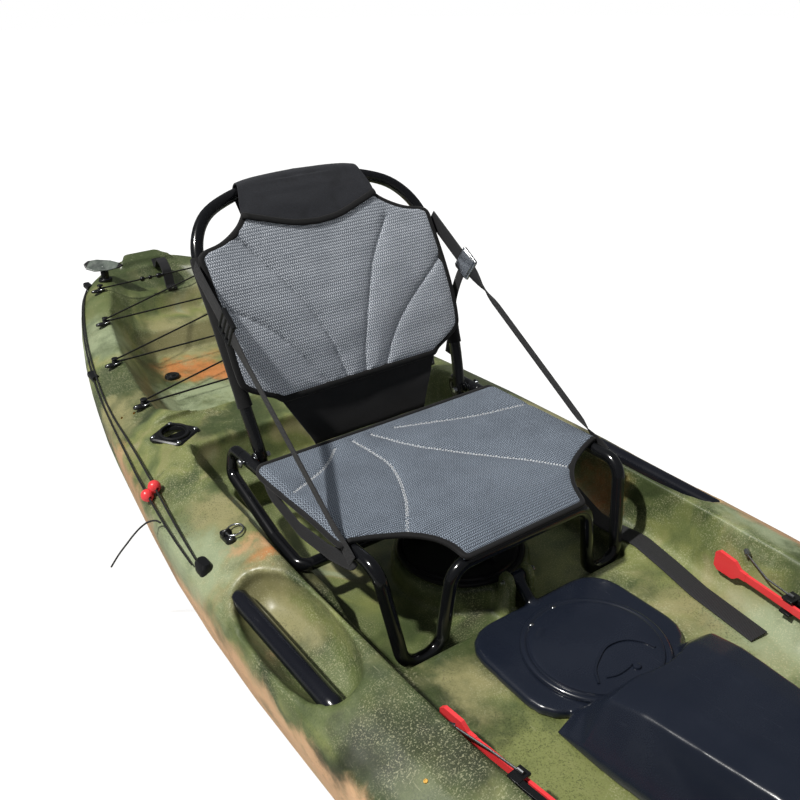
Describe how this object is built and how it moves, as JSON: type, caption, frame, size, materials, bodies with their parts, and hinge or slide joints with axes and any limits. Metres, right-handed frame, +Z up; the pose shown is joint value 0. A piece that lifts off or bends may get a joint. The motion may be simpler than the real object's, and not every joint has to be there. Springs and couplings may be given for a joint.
{
  "type": "fishing kayak",
  "caption": "Sit-on-top fishing kayak with a raised folding mesh seat, hinged console, foot braces, rear tank well and rudder.",
  "frame": {"origin": "on the flat of the hull's bottom, halfway along the hull", "axes": "+Z up, +Y towards the stern, +X to port"},
  "size_m": [0.911, 3.3299, 0.743],
  "materials": {
    "hull_plastic": "satin camouflage of dark green, olive, khaki, sage and rust",
    "black_fitting": "satin black",
    "console_plastic": "semi-gloss black",
    "frame_tube": "gloss black powder coat",
    "mesh_fabric": "grey woven mesh with black binding",
    "webbing": "dark grey webbing and cord",
    "stainless": "polished stainless",
    "steel_cable": "steel cable with a brass end",
    "red_plastic": "satin red",
    "leaf_plastic": "translucent grey"
  },
  "bodies": {
    "hull": {"hull_shell": "hull_plastic", "console_pin": "stainless", "seat_base_frame": "frame_tube", "seat_rear_leg": "frame_tube", "hinge_bolt_s": "stainless", "hinge_bolt_p": "stainless", "seat_pan": "mesh_fabric", "stay_strap_s": "webbing", "stay_strap_p": "webbing", "tie_strap_s": "webbing", "floor_strap": "webbing", "rod_holder_s": "black_fitting", "rod_holder_p": "black_fitting", "carry_bar_s": "black_fitting", "carry_bar_p": "black_fitting", "bungee_hook_s1": "black_fitting", "bungee_hook_p1": "black_fitting", "bungee_hook_s2": "black_fitting", "bungee_hook_p2": "black_fitting", "bungee_hook_s3": "black_fitting", "bungee_hook_p3": "black_fitting", "bungee_hook_s4": "black_fitting", "bungee_hook_p4": "black_fitting", "bungee_cord": "webbing", "pad_eye": "black_fitting", "line_cap": "black_fitting", "rudder_line_inner": "webbing", "pull_bead_inner": "red_plastic", "rudder_line_outer": "webbing", "pull_bead_outer": "red_plastic", "line_sleeve_front": "black_fitting", "line_sleeve_rear": "black_fitting", "line_tail": "webbing", "stern_handle": "black_fitting", "bow_handle": "black_fitting", "stern_post": "black_fitting", "rudder_bracket": "black_fitting", "foot_rail_s": "black_fitting", "rudder_cable_s": "steel_cable", "foot_rail_p": "black_fitting", "rudder_cable_p": "steel_cable"},
    "backrest": {"seat_back_frame": "frame_tube", "seat_back_pad": "mesh_fabric", "seat_back_flap": "webbing", "strap_buckle_s": "black_fitting", "strap_buckle_p": "stainless"},
    "console": {"console_pod": "console_plastic"},
    "console_cover": {"console_lid": "console_plastic"},
    "seat_hatch_cover": {"seat_hatch_lid": "black_fitting"},
    "carriage_s": {"foot_carriage_s": "black_fitting"},
    "carriage_p": {"foot_carriage_p": "black_fitting"},
    "pedal_s": {"foot_pedal_s": "black_fitting"},
    "pedal_p": {"foot_pedal_p": "black_fitting"},
    "lever_s": {"foot_lever_s": "red_plastic"},
    "lever_p": {"foot_lever_p": "red_plastic"},
    "rudder_steering_head": {"rudder_head": "black_fitting"},
    "rudder_lifting_blade": {"rudder_blade": "black_fitting"},
    "ring": {"d_ring": "stainless"},
    "leaf": {"stern_leaf": "leaf_plastic"},
    "plug": {"scupper_plug": "black_fitting"}
  },
  "joints": [
    {"name": "back_fold", "type": "hinge", "parent": "hull", "child": "backrest", "pos_m": [0, 0.457, 0.322], "axis": [1, 0, 0], "range_deg": [0, 70], "deforming": ["stay_strap_s", "stay_strap_p"]},
    {"name": "console_tilt", "type": "hinge", "parent": "hull", "child": "console", "pos_m": [0, 0.037, 0.222], "axis": [1, 0, 0], "range_deg": [-55, 0]},
    {"name": "console_lid_open", "type": "hinge", "parent": "console", "child": "console_cover", "pos_m": [-0.06309, -0.04489, 0.2], "axis": [-0.8192, -0.5736, 0], "range_deg": [0, 70]},
    {"name": "seat_hatch_turn", "type": "hinge", "parent": "hull", "child": "seat_hatch_cover", "pos_m": [0, 0.178, 0.195], "axis": [0, 0, 1], "range_deg": [0, 90]},
    {"name": "brace_slide_s", "type": "slide", "parent": "hull", "child": "carriage_s", "axis": [0.1054, -0.9944, 0], "range_m": [-0.1, 0.05]},
    {"name": "pedal_tilt_s", "type": "hinge", "parent": "carriage_s", "child": "pedal_s", "pos_m": [-0.24818, -0.59611, 0.232], "axis": [0.9944, 0.1054, 0], "range_deg": [-20, 20]},
    {"name": "lever_twist_s", "type": "hinge", "parent": "carriage_s", "child": "lever_s", "pos_m": [-0.23403, -0.54936, 0.232], "axis": [-0.1054, 0.9944, 0], "range_deg": [0, 30]},
    {"name": "brace_slide_p", "type": "slide", "parent": "hull", "child": "carriage_p", "axis": [-0.1054, -0.9944, 0], "range_m": [-0.1, 0.05]},
    {"name": "pedal_tilt_p", "type": "hinge", "parent": "carriage_p", "child": "pedal_p", "pos_m": [0.24818, -0.59611, 0.232], "axis": [0.9944, -0.1054, 0], "range_deg": [-20, 20]},
    {"name": "lever_twist_p", "type": "hinge", "parent": "carriage_p", "child": "lever_p", "pos_m": [0.23403, -0.54936, 0.232], "axis": [-0.1054, -0.9944, 0], "range_deg": [0, 30]},
    {"name": "rudder_steer", "type": "hinge", "parent": "hull", "child": "rudder_steering_head", "pos_m": [0, 1.63, 0.262], "axis": [0, 0, 1], "range_deg": [-30, 30]},
    {"name": "rudder_lift", "type": "hinge", "parent": "rudder_steering_head", "child": "rudder_lifting_blade", "pos_m": [0, 1.674, 0.262], "axis": [1, 0, 0], "range_deg": [0, 140]},
    {"name": "d_ring_lift", "type": "hinge", "parent": "hull", "child": "ring", "pos_m": [-0.35, 0.338, 0.27948], "axis": [0, -1, 0], "range_deg": [0, 120]},
    {"name": "leaf_swivel", "type": "hinge", "parent": "hull", "child": "leaf", "pos_m": [-0.13201, 1.48, 0.36568], "axis": [0, 0, 1], "range_deg": [-90, 90]},
    {"name": "plug_pull", "type": "slide", "parent": "hull", "child": "plug", "axis": [0, 0, 1], "range_m": [0, 0.03]}
  ],
  "couplings": [
    {"joint": "pedal_tilt_p", "follows": "pedal_tilt_s", "ratio": -1},
    {"joint": "rudder_steer", "follows": "pedal_tilt_s", "ratio": 1.5}
  ]
}
